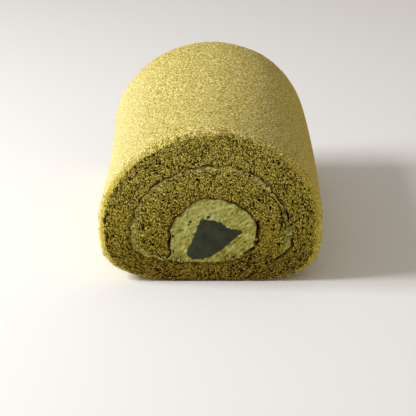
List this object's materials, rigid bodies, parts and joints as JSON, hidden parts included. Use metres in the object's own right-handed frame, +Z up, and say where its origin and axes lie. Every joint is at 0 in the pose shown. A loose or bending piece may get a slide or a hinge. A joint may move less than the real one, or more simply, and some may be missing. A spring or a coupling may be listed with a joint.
{
  "type": "swiss roll cake",
  "caption": "Green tea swiss roll: a sponge sheet rolled in a spiral over cream, with a cream heart and a dark set bar, cut flat at both ends.",
  "frame": {"origin": "under the middle of the roll, on the surface that it rests on", "axes": "+Y along the roll, from the front cut to the back cut; +Z up; +X to the right, seen from the front cut"},
  "size_m": [0.0958, 0.15, 0.0676],
  "materials": {
    "sponge": "open matcha sponge crumb, with a pale straw-green, fine-grained skin round the outside and a thin brown baked face inside",
    "cream": "soft whipped matcha cream, matt, with fine streaks and pits at the cut",
    "bar": "dark grey-green set matcha block, smooth, with a faint sheen"
  },
  "bodies": {
    "root": {"sponge": "sponge", "cream": "cream", "bar": "bar"}
  },
  "joints": []
}
